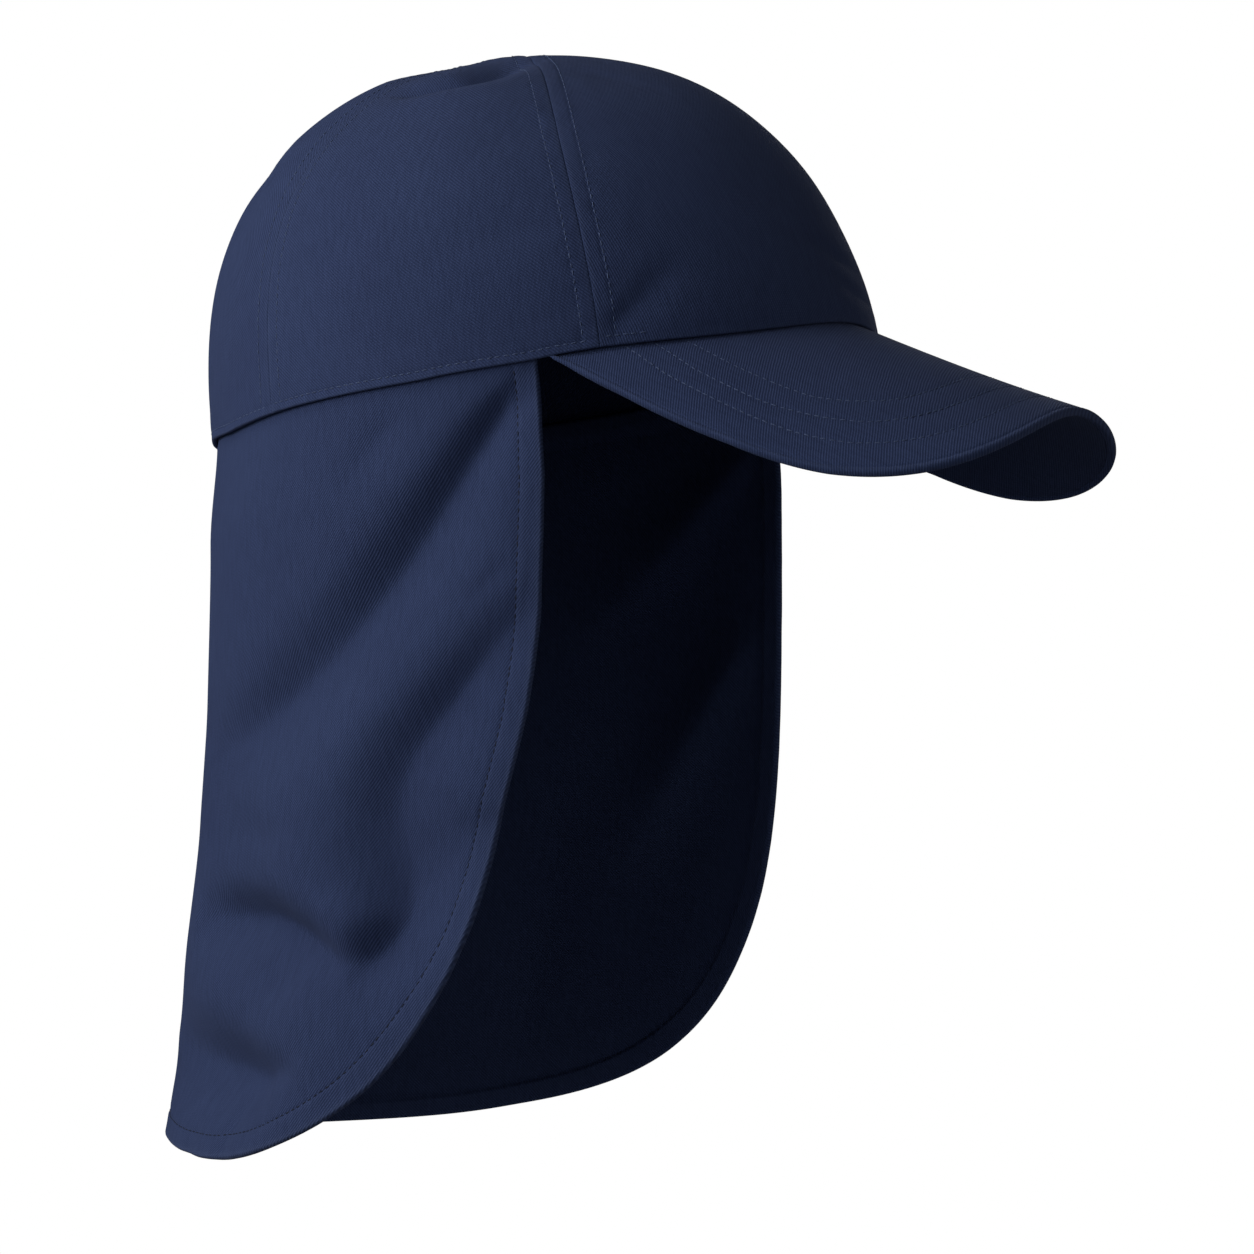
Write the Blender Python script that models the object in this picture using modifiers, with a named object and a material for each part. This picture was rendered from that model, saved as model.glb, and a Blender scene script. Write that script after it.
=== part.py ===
"""Legionnaire cap: a crown of five cloth panels, a curved peak and a long neck flap, in its worn form.

Metres, +Z up. The peak points to -Y and the wearer's left is +X. The origin is the centre of the
head opening's oval, halfway between its front and its back. An angle round the rim is in degrees
from the front, positive towards the wearer's left.
"""

from math import acos, asin, ceil, cos, degrees, exp, hypot, pi, radians, sin, sqrt

import bmesh
import bpy
from mathutils import Vector

# Head opening: an oval that rises towards the front
RIM_LENGTH = 0.203
RIM_WIDTH = 0.1772
RIM_RISE = 0.1451  # height gained for each metre forward
RIM_ARCH = 0.0049  # further rise in the middle of the front, over the peak
RIM_ARCH_POWER = 10  # how narrow that arch is
CLEARANCE = 0.0003  # left between neighbouring pieces

# Crown
CROWN_HEIGHT = 0.1038  # of the top above the oval's centre
TOP_SET_BACK = 0.0096  # how far the top lies behind the oval's centre
TOP_OPENING = 0.0005  # radius of the pinhole where the panels' points meet
CROWN_CLOTH = 0.0014
PANEL_PUFF = 0.0014  # how far a panel swells between its seams
MESH_STEP = 0.011  # length of cloth that one face of a grid covers
OUTLINE_HALVINGS = 40  # steps that find a rounded outline's edge
NO_LENGTH = 1e-6  # anything shorter counts as none

# How the crown's wall runs from the rim to the top, in three directions
CROWN_FORM = {
    # direction: (drawing in, rising, bulge over the rim)
    "front": (0.90, 0.96, -0.076),
    "side": (1.02, 0.82, 0.045),
    "back": (0.79, 0.82, 0.085),
}
# Seams of one half, from the rim to the top
SEAMS = {
    # seam: (degrees round the rim, degrees that it bows back halfway up)
    "front": (55.6, 4.8),
    "rear": (114.0, 4.0),
    "centre": (180.0, 0.0),
}
# Dents of the crown
CROWN_DENTS = (
    # (degrees round, share of the way up, degrees wide, share of the way wide, depth / CROWN_HEIGHT)
    (-82.0, 0.64, 15.0, 0.06, 0.030),
    (-44.0, 0.11, 9.0, 0.05, 0.014),
    (70.0, 0.66, 18.0, 0.07, 0.018),
    (40.0, 0.12, 10.0, 0.05, 0.010),
    (160.0, 0.35, 14.0, 0.12, 0.012),
)

# Peak
PEAK_LENGTH = 0.0653  # forward of the rim
PEAK_ROOT = 63.3  # degrees round the rim, where the peak's seam ends
PEAK_SQUARENESS = 3.58  # 2 is an ellipse, and more is squarer
PEAK_FALL = 0.472  # height lost for each metre forward
PEAK_UPTURN = 1.07  # how strongly the fall eases forward, per metre
PEAK_ARCH_RADIUS = 0.0945  # of the arch from side to side
PEAK_SETTLING = 5.0  # how soon the sheet leaves the seam's height, in its middle
PEAK_TUCK = 0.004  # seam allowance inside the rim
PEAK_SEAT = 0.0006  # under the crown's edge, whose inner side hangs a little lower
PEAK_BOARD = 0.0022  # board with its upper cloth
PEAK_CLOTH = 0.0010  # under cloth
PEAK_EDGE = 0.0022  # width of the upper cloth's turned edge, which frames the under cloth

# Neck flap
FLAP_DROP = 0.221  # longest, below the rim
FLAP_START = 64.9  # degrees round the rim, where its front edges hang
FLAP_TUCK = 0.008  # inside the crown, above the rim
FLAP_FLARE = 0.018  # how far the hem stands out at the back
FLAP_SWELL = 0.0020  # how far the cloth springs out below the crown's edge
FLAP_SWELL_DROP = 0.030  # over this drop
FLAP_CLOTH = 0.0012
HEM_WIDTH = 0.007
HEM_CLOTH = 0.0024  # the turned hem's thickness
HEM_STEP = 0.0008  # width over which the cloth thickens to the hem
FOLD_DEPTH = 0.0042
FOLD_SETTING_IN = 0.10  # share of the drop over which the folds set in, below the rim

# Roundness of the flap's lower corners, as it hangs at each side: 2 is an ellipse, more is squarer
FLAP_CORNERS = {
    # side: (squareness across, squareness down)
    "left": (5.2, 4.0),
    "right": (4.3, 2.9),
}
# Length of the flap, round the back
FLAP_LENGTHS = (
    # (share of the half width, left to right, drop / FLAP_DROP)
    (-1.00, 0.99),
    (-0.45, 1.00),
    (-0.15, 0.97),
    (0.20, 0.92),
    (0.50, 0.95),
    (1.00, 0.96),
)
# How the flap stands out from the rim at the back, on its way down
FLAP_PROFILE = (
    # (share of the drop, share of FLAP_FLARE)
    (0.00, 0.00),
    (0.16, 0.04),
    (0.50, 0.18),
    (0.66, 0.45),
    (0.82, 0.66),
    (1.00, 1.00),
)
# Folds of the flap: valleys have a positive depth, ridges a negative one
FLAP_FOLDS = (
    # (start: degrees round, share of the drop, end: the same two, width / FLAP_DROP, depth / FOLD_DEPTH)
    (-68.0, 0.02, -84.0, 0.16, 0.040, 0.60),
    (-82.0, 0.14, -132.0, 0.36, 0.050, 0.80),
    (-70.0, 0.16, -118.0, 0.42, 0.045, -0.45),
    (-67.0, 0.27, -88.0, 0.47, 0.045, 0.70),
    (-86.0, 0.45, -98.0, 0.63, 0.045, 0.90),
    (-98.0, 0.64, -126.0, 0.64, 0.035, 0.55),
    (-80.0, 0.52, -88.0, 0.80, 0.050, -0.40),
    (-140.0, 0.74, -144.0, 0.90, 0.040, 0.70),
    (-124.0, 0.84, -122.0, 0.98, 0.030, 0.45),
    (180.0, 0.30, 174.0, 0.92, 0.070, -0.70),
    (158.0, 0.12, 150.0, 0.80, 0.060, 0.90),
    (204.0, 0.10, 206.0, 0.60, 0.060, 0.60),
    (70.0, 0.04, 112.0, 0.30, 0.050, 0.70),
    (68.0, 0.30, 100.0, 0.62, 0.050, 0.80),
    (112.0, 0.50, 120.0, 0.95, 0.060, -0.70),
)

# Finish
NAVY = (0.030, 0.045, 0.105, 1.0)
DARK_NAVY = (0.020, 0.030, 0.075, 1.0)
COTTON_ROUGHNESS = 0.85


def blend(low, high, share):
    return low + (high - low) * share


def ease(share):
    """Smooth step from 0 to 1."""
    share = min(max(share, 0.0), 1.0)
    return share * share * (3 - 2 * share)


def read_profile(rows, place):
    """Reads a table's second column at a place of its first, along a smooth curve through its rows."""
    index = 0
    while index < len(rows) - 2 and rows[index + 1][0] < place:
        index += 1
    before = rows[max(index - 1, 0)]
    start = rows[index]
    end = rows[index + 1]
    after = rows[min(index + 2, len(rows) - 1)]
    length = end[0] - start[0]
    slope_in = (end[1] - before[1]) / (end[0] - before[0]) * length
    slope_out = (after[1] - start[1]) / (after[0] - start[0]) * length
    share = (place - start[0]) / length
    square = share * share
    cube = square * share
    return (
        (2 * cube - 3 * square + 1) * start[1]
        + (cube - 2 * square + share) * slope_in
        + (3 * square - 2 * cube) * end[1]
        + (cube - square) * slope_out
    )


def outline_reach(across, along, square_across, square_along):
    """How far a rounded square's edge lies out in a direction, where its half sides are 1."""
    near, far = 0.0, 2.0
    for _ in range(OUTLINE_HALVINGS):
        middle = (near + far) / 2
        if (middle * abs(across)) ** square_across + (middle * abs(along)) ** square_along < 1:
            near = middle
        else:
            far = middle
    return near


def rim_point(angle, inset=0.0):
    """A point of the head opening's oval, or of one that lies inside it."""
    turn = radians(angle)
    across = (RIM_WIDTH / 2 - inset) * sin(turn)
    forward = (RIM_LENGTH / 2 - inset) * cos(turn)
    arch = RIM_ARCH * max(cos(turn), 0.0) ** RIM_ARCH_POWER
    return Vector((across, -forward, RIM_RISE * forward + arch))


def rim_outward(angle):
    """The level direction that points out of the oval."""
    turn = radians(angle)
    return Vector((sin(turn) * RIM_LENGTH, -cos(turn) * RIM_WIDTH, 0.0)).normalized()


def crown_point(angle, lift):
    """A point of the crown's smooth form: lift goes from 0 at the rim to 1 at the top."""
    heading = cos(radians(angle))
    shares = {"front": max(heading, 0.0) ** 2, "back": max(-heading, 0.0) ** 2}
    shares["side"] = 1.0 - shares["front"] - shares["back"]
    drawing, rising, bulge = (
        sum(shares[direction] * form[column] for direction, form in CROWN_FORM.items())
        for column in range(3)
    )
    reach = cos(lift * pi / 2)
    climb = acos(min(reach ** (1 / drawing), 1.0))
    height = sin(climb) ** rising
    reach *= 1 + bulge * sin(2 * climb) * cos(climb) ** 2
    rim = rim_point(angle)
    return Vector((
        rim.x * reach,
        rim.y * reach + TOP_SET_BACK * max(1 - reach, 0.0),
        blend(rim.z, CROWN_HEIGHT, height),
    ))


def dent_depth(angle, lift):
    depth = 0.0
    for dent_angle, dent_lift, wide, long, share in CROWN_DENTS:
        away = ((angle - dent_angle) / wide) ** 2 + ((lift - dent_lift) / long) ** 2
        depth += share * CROWN_HEIGHT * exp(-away)
    return depth


def seam_angle(side, seam, lift):
    at_rim, bow = SEAMS[seam]
    return side * (at_rim + bow * sin(pi * lift))


def panel_point(first, last, across, lift):
    """A point of the panel between two seams, puffed in its middle and sunk where the crown dents."""
    lift *= 1 - asin(TOP_OPENING / (RIM_WIDTH / 2)) / (pi / 2)
    radius = RIM_WIDTH / 2 * cos(lift * pi / 2)
    half_gap = degrees(CLEARANCE / 2 / radius)
    angle = blend(seam_angle(*first, lift) + half_gap, seam_angle(*last, lift) - half_gap, across)
    point = crown_point(angle, lift)
    puff = PANEL_PUFF * (4 * across * (1 - across) - 1) * sin(pi * lift)
    outward = (point - Vector((0.0, TOP_SET_BACK, 0.0))).normalized()
    return point + outward * (puff - dent_depth(angle, lift))


def peak_sheet_height(across, forward):
    """Height of the peak's smooth sheet, forward of the oval's front point."""
    arch = PEAK_ARCH_RADIUS - sqrt(PEAK_ARCH_RADIUS ** 2 - across ** 2)
    front = RIM_RISE * RIM_LENGTH / 2 + RIM_ARCH
    return front - PEAK_FALL * forward + PEAK_UPTURN * forward ** 2 - arch


def peak_point(across, out, edge):
    """A point of the peak's top: across from -1 to 1, out from 0 at the seam to 1 at the edge."""
    root = rim_point(across * PEAK_ROOT, PEAK_TUCK)
    corner = rim_point(PEAK_ROOT)
    reach = RIM_LENGTH / 2 + PEAK_LENGTH + corner.y
    heading = across * pi / 2
    far = outline_reach(sin(heading), cos(heading), PEAK_SQUARENESS, PEAK_SQUARENESS)
    tip = Vector((corner.x * sin(heading) * far, corner.y - reach * cos(heading) * far, root.z))
    out *= 1 - edge / (tip - root).length
    point = root.lerp(tip, out)
    lift_at_root = root.z - PEAK_SEAT - peak_sheet_height(root.x, -root.y - RIM_LENGTH / 2)
    sheet = peak_sheet_height(point.x, -point.y - RIM_LENGTH / 2)
    settling = blend(PEAK_SETTLING, 1.0, abs(across) ** 3)
    point.z = sheet + lift_at_root * (1 - out) ** settling
    return point


def fold_depth(angle, down):
    """How deep the flap's folds press it in, so many degrees round and metres down."""
    depth = 0.0
    for start, start_share, end, end_share, width, share in FLAP_FOLDS:
        metres_per_degree = radians(RIM_LENGTH / 2)
        turn = (angle - start + 180) % 360 - 180
        span = (end - start + 180) % 360 - 180
        along = Vector((span * metres_per_degree, (end_share - start_share) * FLAP_DROP))
        place = Vector((turn * metres_per_degree, down - start_share * FLAP_DROP))
        share_along = min(max(place.dot(along) / along.length_squared, 0.0), 1.0)
        away = (place - along * share_along).length / (width * FLAP_DROP)
        depth += share * FOLD_DEPTH * exp(-away * away)
    return depth


def flap_point(across, down):
    """Hangs a point of the flat flap: across from -1 at the left front edge to 1 at the right."""
    half_turn = 180 - FLAP_START
    angle = 180 + across * half_turn
    inset = CROWN_CLOTH + CLEARANCE
    share = max(down, 0.0) / FLAP_DROP
    swell = FLAP_SWELL * ease(down / FLAP_SWELL_DROP)
    towards_back = (cos(radians(FLAP_START)) - cos(radians(angle))) / (cos(radians(FLAP_START)) + 1)
    flare = FLAP_FLARE * read_profile(FLAP_PROFILE, share) * max(towards_back, 0.0)
    free = ease(share / FOLD_SETTING_IN)
    outward = rim_outward(angle) * (swell + flare - free * fold_depth(angle, down))
    return rim_point(angle, inset) + outward - Vector((0.0, 0.0, down))


def new_object(name, mesh, material, collection):
    """Puts a finished mesh in the scene as one smooth, named object."""
    mesh.shade_smooth()
    mesh.materials.append(material)
    piece = bpy.data.objects.new(name, mesh)
    collection.objects.link(piece)
    return piece


def thicken(piece, thickness):
    """Gives a sheet its thickness, inwards from the surface that shows."""
    solidify = piece.modifiers.new("Cloth", "SOLIDIFY")
    solidify.thickness = thickness
    solidify.offset = -1
    solidify.use_even_offset = True
    solidify.use_quality_normals = True
    return solidify


def grid_sheet(columns, rows, place):
    """A grid primitive whose points are moved by a function of their two shares, 0 to 1."""
    sheet = bmesh.new()
    bmesh.ops.create_grid(sheet, x_segments=columns, y_segments=rows, size=1.0)
    for vert in sheet.verts:
        vert.co = place((vert.co.x + 1) / 2, (vert.co.y + 1) / 2)
    sheet.normal_update()
    return sheet


def finish_sheet(sheet, name):
    mesh = bpy.data.meshes.new(name)
    sheet.to_mesh(mesh)
    sheet.free()
    return mesh


def faces_along(length):
    return max(ceil(length / MESH_STEP), 4)


def crown_panel(name, first, last, material, collection):
    """One panel, from the first seam round to the last, each a side and a seam's name."""
    turn = radians(seam_angle(*last, 0.0) - seam_angle(*first, 0.0))
    columns = faces_along(turn * RIM_LENGTH / 2)
    rows = faces_along(CROWN_HEIGHT * pi / 2)
    sheet = grid_sheet(columns, rows, lambda across, lift: panel_point(first, last, across, lift))
    panel = new_object(name, finish_sheet(sheet, name), material, collection)
    thicken(panel, CROWN_CLOTH)


def peak_sheet(edge, left_out):
    """The peak's top as an open sheet, with its edge drawn in and columns left out at each end."""
    columns = faces_along(2 * PEAK_LENGTH + RIM_WIDTH)
    kept = columns - 2 * left_out
    rows = faces_along(PEAK_LENGTH)

    def place(across, back):
        return peak_point((2 * across - 1) * kept / columns, 1 - back, edge)

    return grid_sheet(kept, rows, place)


def peak_upper(material, collection):
    """The board in its upper cloth, one firm sheet with the wrapped edge."""
    name = "peak_upper"
    peak = new_object(name, finish_sheet(peak_sheet(0.0, 0), name), material, collection)
    thicken(peak, PEAK_BOARD)


def peak_under(material, collection):
    """The under cloth, a sheet that lies below the board and inside its wrapped edge."""
    name = "peak_under"
    sheet = peak_sheet(PEAK_EDGE, 1)
    depth = PEAK_BOARD + CLEARANCE
    lowered = [vert.co - vert.normal * depth for vert in sheet.verts]
    for vert, place in zip(sheet.verts, lowered):
        vert.co = place
    under = new_object(name, finish_sheet(sheet, name), material, collection)
    thicken(under, PEAK_CLOTH)


def cut_flap(half_width):
    """The flat flap inside its hem: a grid rounded to a half outline, across and down from the rim."""
    columns = faces_along(2 * half_width)
    rows = faces_along(FLAP_DROP)
    body_width = 1 - HEM_WIDTH / half_width
    body_drop = 1 - HEM_WIDTH / FLAP_DROP

    def place(across, up):
        """Rounds the square's two lower corners, then squares the curve as far as each side needs."""
        across = 2 * across - 1
        down = 1 - up
        wide = across * sqrt(1 - down ** 2 / 2)
        deep = down * sqrt(1 - across ** 2 / 2)
        out = hypot(wide, deep)
        if out < NO_LENGTH:
            return Vector((0.0, 0.0, 0.0))
        side = ease((1 + wide / out) / 2)
        square_across, square_down = (
            blend(left, right, side) for left, right in zip(FLAP_CORNERS["left"], FLAP_CORNERS["right"])
        )
        longest = read_profile(FLAP_LENGTHS, wide / out)
        far = outline_reach(wide / out, deep / out, square_across, square_down)
        return Vector((wide * far * body_width, -deep * far * body_drop * longest, 0.0))

    return grid_sheet(columns, rows, place)


def widen(sheet, edges, across, down):
    """Extrudes a border and scales the new one out, across and down, round the rim's centre."""
    border = bmesh.ops.extrude_edge_only(sheet, edges=edges)["geom"]
    fresh = [item for item in border if isinstance(item, bmesh.types.BMVert)]
    for vert in fresh:
        vert.co.x *= across
        vert.co.y *= down
    return fresh, [item for item in border if isinstance(item, bmesh.types.BMEdge)]


def neck_flap(material, collection):
    """The flap with its thicker turned hem, cut flat and then hung from inside the rim."""
    name = "neck_flap"
    half_width = radians(180 - FLAP_START) * RIM_LENGTH / 2
    sheet = cut_flap(half_width)
    top = [edge for edge in sheet.edges if all(vert.co.y > -NO_LENGTH for vert in edge.verts)]
    hanging = [edge for edge in sheet.edges if edge.is_boundary and edge not in top]

    body = len(sheet.verts)
    step = (HEM_WIDTH - HEM_STEP) / HEM_WIDTH
    inner_width = blend(1 - HEM_WIDTH / half_width, 1.0, 1 - step)
    inner_drop = blend(1 - HEM_WIDTH / FLAP_DROP, 1.0, 1 - step)
    fresh, edges = widen(
        sheet, hanging,
        inner_width / (1 - HEM_WIDTH / half_width), inner_drop / (1 - HEM_WIDTH / FLAP_DROP),
    )
    ring = [edge for edge in edges if edge.is_boundary and not all(v.co.y > -NO_LENGTH for v in edge.verts)]
    widen(sheet, ring, 1 / inner_width, 1 / inner_drop)

    top = [edge for edge in sheet.edges if all(vert.co.y > -NO_LENGTH for vert in edge.verts)]
    tuck, _ = widen(sheet, top, 1.0, 1.0)
    for vert in tuck:
        vert.co.y = FLAP_TUCK / FLAP_DROP
    bmesh.ops.recalc_face_normals(sheet, faces=sheet.faces)

    for vert in sheet.verts:
        vert.co = flap_point(vert.co.x, -vert.co.y * FLAP_DROP)
    flap = new_object(name, finish_sheet(sheet, name), material, collection)
    hem = flap.vertex_groups.new(name="hem")
    hem.add(list(range(body, len(flap.data.vertices) - len(tuck))), 1.0, "REPLACE")
    solidify = thicken(flap, HEM_CLOTH)
    solidify.vertex_group = hem.name
    solidify.thickness_vertex_group = FLAP_CLOTH / HEM_CLOTH


def cotton(name, colour):
    """Plain cotton cloth."""
    material = bpy.data.materials.new(name)
    material.use_nodes = True
    principled = material.node_tree.nodes["Principled BSDF"]
    principled.inputs["Base Color"].default_value = colour
    principled.inputs["Roughness"].default_value = COTTON_ROUGHNESS
    principled.inputs["Metallic"].default_value = 0.0
    return material


def build_cap():
    for old in list(bpy.data.objects):
        bpy.data.objects.remove(old, do_unlink=True)
    collection = bpy.data.collections.new("legionnaire_cap")
    bpy.context.scene.collection.children.link(collection)

    crown_cotton = cotton("crown_cotton", NAVY)
    right, left = -1, 1
    crown_panel("crown_front_panel", (right, "front"), (left, "front"), crown_cotton, collection)
    crown_panel("crown_side_panel_left", (left, "front"), (left, "rear"), crown_cotton, collection)
    crown_panel("crown_back_panel_left", (left, "rear"), (left, "centre"), crown_cotton, collection)
    crown_panel("crown_side_panel_right", (right, "rear"), (right, "front"), crown_cotton, collection)
    crown_panel("crown_back_panel_right", (right, "centre"), (right, "rear"), crown_cotton, collection)
    peak_upper(cotton("peak_cotton", NAVY), collection)
    peak_under(cotton("peak_under_cotton", DARK_NAVY), collection)
    neck_flap(cotton("flap_cotton", NAVY), collection)


build_cap()
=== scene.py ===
# %% [markdown]
# # A legionnaire cap in navy cotton
#
# The cap has a crown sewn from five panels, a stiff curved peak and a long neck flap.
# Its measured solids are already packed as a fixed frame. This lesson dresses them: each piece of
# cloth is made again with its seams, hems and stitches, in the place of its solid.

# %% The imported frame
from math import cos, pi, radians, sin

import bpy
import numpy as np
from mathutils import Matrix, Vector, noise


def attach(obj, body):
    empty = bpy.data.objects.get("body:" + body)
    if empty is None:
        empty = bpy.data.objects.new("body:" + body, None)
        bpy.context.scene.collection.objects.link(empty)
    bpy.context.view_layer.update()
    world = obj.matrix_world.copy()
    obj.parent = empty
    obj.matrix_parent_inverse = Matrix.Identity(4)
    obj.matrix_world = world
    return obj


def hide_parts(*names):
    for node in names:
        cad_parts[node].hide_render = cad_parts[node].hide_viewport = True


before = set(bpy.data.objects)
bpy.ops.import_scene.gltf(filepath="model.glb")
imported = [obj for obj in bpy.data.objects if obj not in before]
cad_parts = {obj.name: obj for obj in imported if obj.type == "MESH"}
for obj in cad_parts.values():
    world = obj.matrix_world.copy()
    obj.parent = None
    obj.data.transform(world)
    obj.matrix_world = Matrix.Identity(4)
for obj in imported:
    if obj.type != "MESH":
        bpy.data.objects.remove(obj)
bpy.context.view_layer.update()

# %% [markdown]
# ## The camera
#
# The photograph was taken level with the hem, from the wearer's right and a little in front. The
# place was found by laying the cap's outline over the photograph. The lens is longer than a normal
# one, as for a product picture, and the picture is square.

# %% The camera
PHOTO_PIXELS = 1254
FOCAL_PIXELS = 2574.9
SENSOR_MM = 36.0
CAMERA_TURN = radians(-63.14)
CAMERA_DISTANCE = 0.7677
CAMERA_ASIDE = 0.0252
CAMERA_HEIGHT = -0.0652


def add_object(name, data):
    """Puts a new object into the scene."""
    made = bpy.data.objects.new(name, data)
    bpy.context.scene.collection.objects.link(made)
    return made


towards_camera = Vector((sin(CAMERA_TURN), -cos(CAMERA_TURN), 0.0))
picture_right = Vector((cos(CAMERA_TURN), sin(CAMERA_TURN), 0.0))
camera_data = bpy.data.cameras.new("product_camera")
camera_data.sensor_width = SENSOR_MM
camera_data.lens = SENSOR_MM * FOCAL_PIXELS / PHOTO_PIXELS
camera = add_object("product_camera", camera_data)
camera.location = towards_camera * CAMERA_DISTANCE + picture_right * CAMERA_ASIDE
camera.location.z = CAMERA_HEIGHT
camera.rotation_euler = (pi / 2, 0.0, CAMERA_TURN)
bpy.context.scene.camera = camera
print(f"lens {camera_data.lens:.1f} mm")

# %% [markdown]
# ## The studio
#
# The background is pure white, yet little of it falls on the cap: the inside of the flap is almost
# black. So the white is what the camera sees, and the light on the cloth comes from lamps alone.

# %% The studio
BACKGROUND_WHITE = 1.0
ROOM_LIGHT = 0.025
ROOM_TINT = (0.85, 0.92, 1.0, 1.0)


def seen_or_lit(nodes, links, seen, lit):
    """Mixes two shaders: the first for what the camera sees, the second for what lights the cap."""
    path = nodes.new("ShaderNodeLightPath")
    mix = nodes.new("ShaderNodeMixShader")
    links.new(path.outputs["Is Camera Ray"], mix.inputs[0])
    links.new(lit.outputs[0], mix.inputs[1])
    links.new(seen.outputs[0], mix.inputs[2])
    return mix


def new_material(name):
    """A material and its nodes."""
    material = bpy.data.materials.new(name)
    material.use_nodes = True
    return material, material.node_tree


world = bpy.data.worlds.new("white_room")
world.use_nodes = True
bpy.context.scene.world = world
nodes, links = world.node_tree.nodes, world.node_tree.links
white = nodes["Background"]
white.inputs["Color"].default_value = (1.0, 1.0, 1.0, 1.0)
white.inputs["Strength"].default_value = BACKGROUND_WHITE
dim = nodes.new("ShaderNodeBackground")
dim.inputs["Color"].default_value = ROOM_TINT
dim.inputs["Strength"].default_value = ROOM_LIGHT
mix = seen_or_lit(nodes, links, white, dim)
links.new(mix.outputs[0], nodes["World Output"].inputs["Surface"])
bpy.context.scene.view_settings.view_transform = "Standard"
print("room:", world.name)

# %% [markdown]
# The floor is a plain pale sheet far below the cap, because the cap is shown as if a head held it up.

# %% The floor
FLOOR_HEIGHT = -0.62
FLOOR_SIZE = 12.0
FLOOR_GREY = (0.25, 0.25, 0.26, 1.0)

floor_mesh = bpy.data.meshes.new("floor")
half = FLOOR_SIZE / 2
corners = [(-half, -half), (half, -half), (half, half), (-half, half)]
floor_mesh.from_pydata([(x, y, FLOOR_HEIGHT) for x, y in corners], [], [(0, 1, 2, 3)])
floor = add_object("floor", floor_mesh)
paint, tree = new_material("pale_floor")
nodes, links = tree.nodes, tree.links
seen = nodes.new("ShaderNodeEmission")
seen.inputs["Strength"].default_value = BACKGROUND_WHITE
lit = nodes["Principled BSDF"]
lit.inputs["Base Color"].default_value = FLOOR_GREY
lit.inputs["Roughness"].default_value = 1.0
mix = seen_or_lit(nodes, links, seen, lit)
links.new(mix.outputs[0], nodes["Material Output"].inputs["Surface"])
floor_mesh.materials.append(paint)
print("floor", floor.name, "at", FLOOR_HEIGHT)

# %% [markdown]
# Three broad lamps stand at the picture's left, towards the back of the cap: one beside it, one above
# and one nearer the camera. They leave the front of the crown dark and draw out the folds of the flap.
# Three more, at the right and behind, open the shade a little and keep the far side from going black.

# %% The lamps
LAMPS = (
    # (name, along the picture, towards the camera, up, size, watts)
    ("side_lamp", -0.95, 0.40, 0.25, 0.65, 6.2),
    ("high_lamp", -0.7, 0.3, 0.9, 0.65, 3.6),
    ("low_lamp", -0.8, 1.2, 0.15, 0.9, 3.9),
    ("right_lamp", 0.9, 1.2, 0.1, 0.9, 1.5),
    ("edge_lamp", 1.3, -0.4, 0.15, 0.9, 1.8),
    ("far_lamp", 0.4, -1.5, 0.3, 0.9, 4.0),
)
for name, aside, near, up, size, watts in LAMPS:
    light = bpy.data.lights.new(name, "AREA")
    light.shape = "DISK"
    light.size = size
    light.energy = watts
    lamp = add_object(name, light)
    lamp.location = picture_right * aside + towards_camera * near + Vector((0.0, 0.0, up))
    lamp.rotation_euler = (-lamp.location).to_track_quat("-Z", "Y").to_euler()
print("lamps:", len(LAMPS))

# %% [markdown]
# ## The measured form
#
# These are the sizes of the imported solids, in metres. The head opening is an oval that rises towards
# the front, and the crown climbs from it along one curve, whose shape differs between the front, the
# sides and the back. A helper works on whole arrays of points at once, which keeps fine meshes fast.

# %% The rim and the crown's form
RIM_LENGTH = 0.203
RIM_WIDTH = 0.1772
RIM_RISE = 0.1451  # height gained for each metre forward
RIM_ARCH = 0.0049  # further rise in the middle of the front, over the peak
RIM_ARCH_POWER = 10  # how narrow that arch is
CROWN_HEIGHT = 0.1038
TOP_SET_BACK = 0.0096  # how far the top lies behind the oval's centre
CROWN_CLOTH = 0.0014
PANEL_PUFF = 0.0014  # how far a panel swells between its seams
TOP_POINT = 0.0012  # share of the way up that is left open where the panels' points meet
NO_LENGTH = 1e-12  # anything shorter has no direction
CROWN_FORM = {
    # direction: (drawing in, rising, bulge over the rim)
    "front": (0.90, 0.96, -0.076),
    "side": (1.02, 0.82, 0.045),
    "back": (0.79, 0.82, 0.085),
}
SEAMS = {
    # seam: (degrees round the rim, degrees that it bows back halfway up)
    "front": (55.6, 4.8),
    "rear": (114.0, 4.0),
    "centre": (180.0, 0.0),
}


def blend(low, high, share):
    return low + (high - low) * share


def ease(low, high, value):
    """Smooth step from 0 at low to 1 at high."""
    share = np.clip((value - low) / (high - low), 0.0, 1.0)
    return share * share * (3 - 2 * share)


def unit(vectors):
    return vectors / np.maximum(np.linalg.norm(vectors, axis=-1, keepdims=True), NO_LENGTH)


def rim_points(angles, inset=0.0):
    turn = np.radians(angles)
    across = (RIM_WIDTH / 2 - inset) * np.sin(turn)
    forward = (RIM_LENGTH / 2 - inset) * np.cos(turn)
    arch = RIM_ARCH * np.maximum(np.cos(turn), 0.0) ** RIM_ARCH_POWER
    return np.stack((across, -forward, RIM_RISE * forward + arch), axis=-1)


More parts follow.
